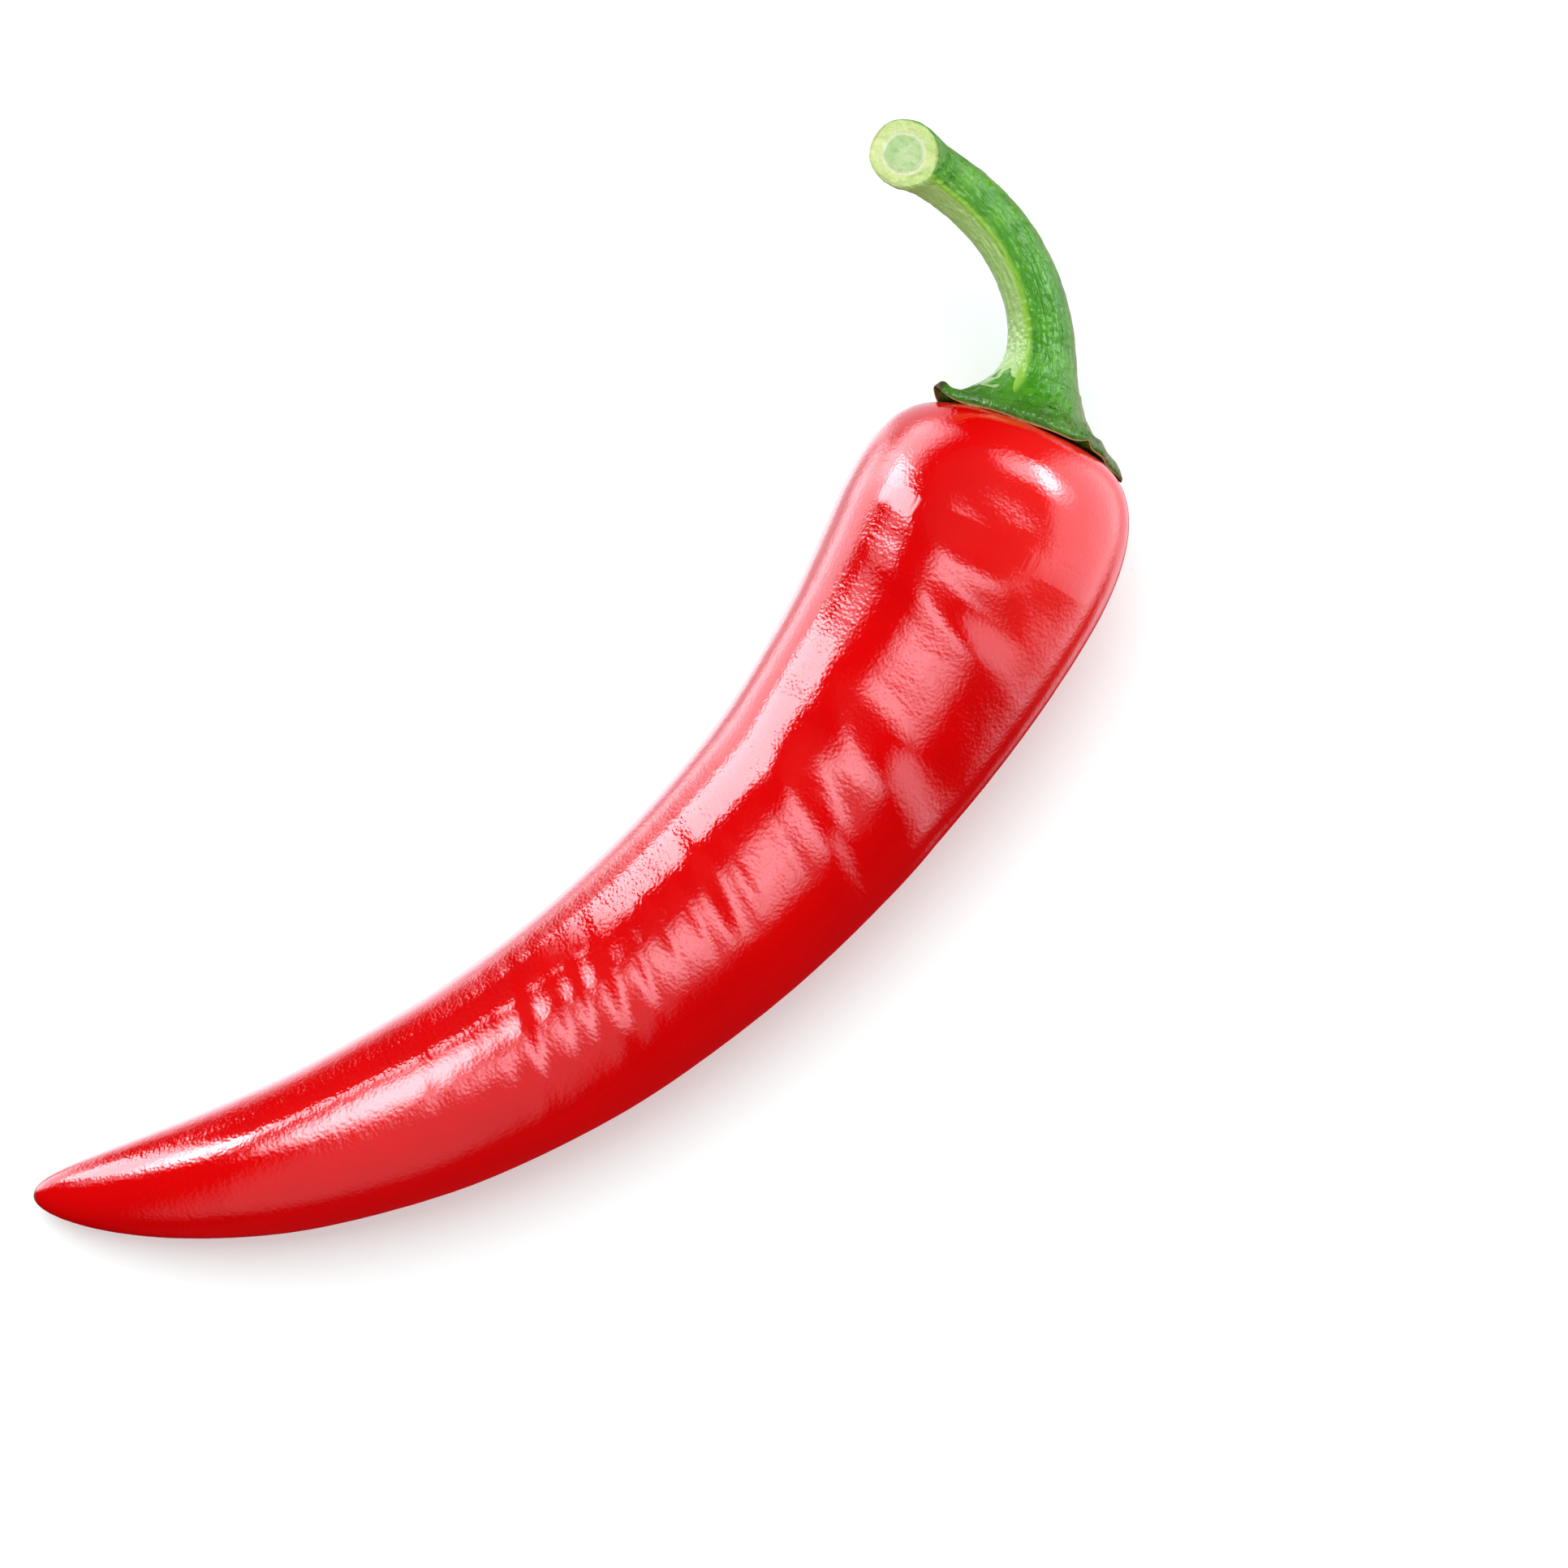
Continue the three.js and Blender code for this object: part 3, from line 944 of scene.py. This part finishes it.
def card(name, aim, span, radiance, tilt=0.0, soft=0.4, tint=GLOSS_TINT, at=(0.0, 0.0), far=FAR):
    """A glowing card that only the gloss sees. aim is its azimuth and elevation and span the
    angles that it covers, in degrees, seen from the place at, and tilt turns it in its own plane.
    Its light fades towards the edges over the soft share of its half-width."""
    towards = direction(*aim)
    level = unit(np.cross(UP, towards))
    turn = math.radians(tilt)
    right = level * math.cos(turn) + np.cross(towards, level) * math.sin(turn)
    up = np.cross(towards, right)
    tangents = [math.tan(math.radians(angle / 2)) for angle in span]
    half_wide, half_tall = (far * tangent * (1 + soft / 2) for tangent in tangents)
    across, along, weight = card_grid(soft)
    glow = (radiance * weight)[..., None] * np.array([*tint, 1.0])
    centre = on_plan(at) + towards * far
    place = centre + right * (across * half_wide)[..., None] + up * (along * half_tall)[..., None]
    grid_piece(name, place, glow, SOFT_LIGHT)


def flag(name, start, end, low, high, soft=0.3):
    """A dark upright strip that only the gloss sees, and that shades the side of the pod from the
    cards behind it. start and end are its two ends on the floor's plan, and low and high hold the
    heights of its lower and upper edge at both. Its shade fades over the soft share of its
    half-width."""
    across, along, weight = card_grid(soft)
    share, rise = (across[..., None] + 1) / 2, (along[..., None] + 1) / 2
    first, last = on_plan(start), on_plan(end)
    bottom = first + UP * low[0] + (last - first + UP * (low[1] - low[0])) * share
    top = first + UP * high[0] + (last - first + UP * (high[1] - high[0])) * share
    passed = (1 - weight)[..., None] * np.ones(4)
    grid_piece(name, bottom + (top - bottom) * rise, passed, SOFT_SHADE)


def grid_piece(name, place, colour, material):
    """A staged sheet from a grid of points, each with its colour, that only the gloss sees."""
    index = np.arange(place[..., 0].size).reshape(place.shape[:2])
    quads = np.stack([index[:-1, :-1], index[1:, :-1], index[1:, 1:], index[:-1, 1:]], axis=-1)
    mesh = bpy.data.meshes.new(name)
    mesh.from_pydata(place.reshape(-1, 3), [], quads.reshape(-1, 4).tolist())
    stored = mesh.attributes.new("glow", "FLOAT_COLOR", "POINT")
    stored.data.foreach_set("color", colour.ravel())
    mesh.materials.append(material)
    thing = bpy.data.objects.new(name, mesh)
    bpy.context.scene.collection.objects.link(thing)
    thing.visible_camera = False
    thing.visible_diffuse = False
    thing.visible_shadow = False


def key_light(azimuth, elevation, across, radiance):
    """A square lamp for the diffuse shading alone, which the gloss doesn't show."""
    towards = direction(azimuth, elevation)
    data = bpy.data.lights.new("key", "AREA")
    data.size = 2 * FAR * math.tan(math.radians(across / 2))
    data.energy = radiance * math.pi * data.size**2
    lamp = placed_object("key", data, towards * FAR, unit(np.cross(UP, towards)), towards)
    lamp.visible_camera = False
    lamp.visible_glossy = False


bpy.context.scene.camera = make_camera()
key_light(98, 64, 50, 2.7)

# The cards, by what they light. Those with a place and a distance stand close, so that only the
# skin near them shows them.
card("side_softbox", (144.5, 16), (18, 44), 12.5, tilt=-8.0, soft=0.35)
card("side_lower", (149, -22), (32, 38), 3.8, soft=0.6)
card("low_softbox", (146, -56), (36, 60), 1.2)
card("low_edge", (112, -40), (26, 60), 1.1)
card("top_right", (-55, 58), (20, 46), 4.6, tilt=26.0, soft=0.9)
card("top_middle", (-93, 76), (20, 34), 3.2, tilt=45.0, soft=0.9)
card("top_left", (-138, 74), (20, 25), 3.6, tilt=90.0, soft=0.9)
card("middle_streak", (160, 63), (28, 26), 18.0, soft=0.8, at=(-0.0136, -0.032), far=0.07)
card("tip_strip", (145, 42), (17, 22), 15.0, soft=0.8, at=(-0.032, -0.038), far=0.05)
card("dim_card", (-95, 44), (60, 86), 0.7, soft=0.6)
card("shoulder_side", (130, 14), (44, 46), 6.0, soft=0.8, at=(0.033, 0.032), far=0.08)
card("shoulder_patch", (158, 25), (13, 26), 2.2, soft=0.6)
card("shoulder_top", (38, 40), (64, 30), 8.5, tilt=38.0, soft=0.9)
card("shoulder_spark", (30, 33), (30, 18), 15.0, soft=0.9)
card("right_card", (8, 2), (78, 84), 2.6, soft=0.5)
card("right_floor", (30, -52), (50, 40), 1.0, soft=0.5)
card("floor_glow", (-25, -48), (140, 84), 0.45, tint=(1.0, 0.03, 0.04))
flag("side_flag", (-0.0600, -0.0169), (-0.0150, 0.0030), (0.007, 0.015), (0.029, 0.046))

# The room: its even light, and what the camera sees past the floor.
ROOM_LIGHT = (0.7, 0.7, 0.7, 1)
BACKDROP = (0.97, 0.97, 0.97, 1)
world = bpy.data.worlds.new("room")
bpy.context.scene.world = world
world.use_nodes = True
world_tree = world.node_tree
background = world_tree.nodes["Background"]
ray = world_tree.nodes.new("ShaderNodeLightPath").outputs["Is Camera Ray"]
seen = mixed(world_tree, ray, ROOM_LIGHT, BACKDROP)
world_tree.links.new(seen, background.inputs["Color"])
world.cycles_visibility.glossy = False

bpy.context.scene.view_settings.view_transform = "Standard"
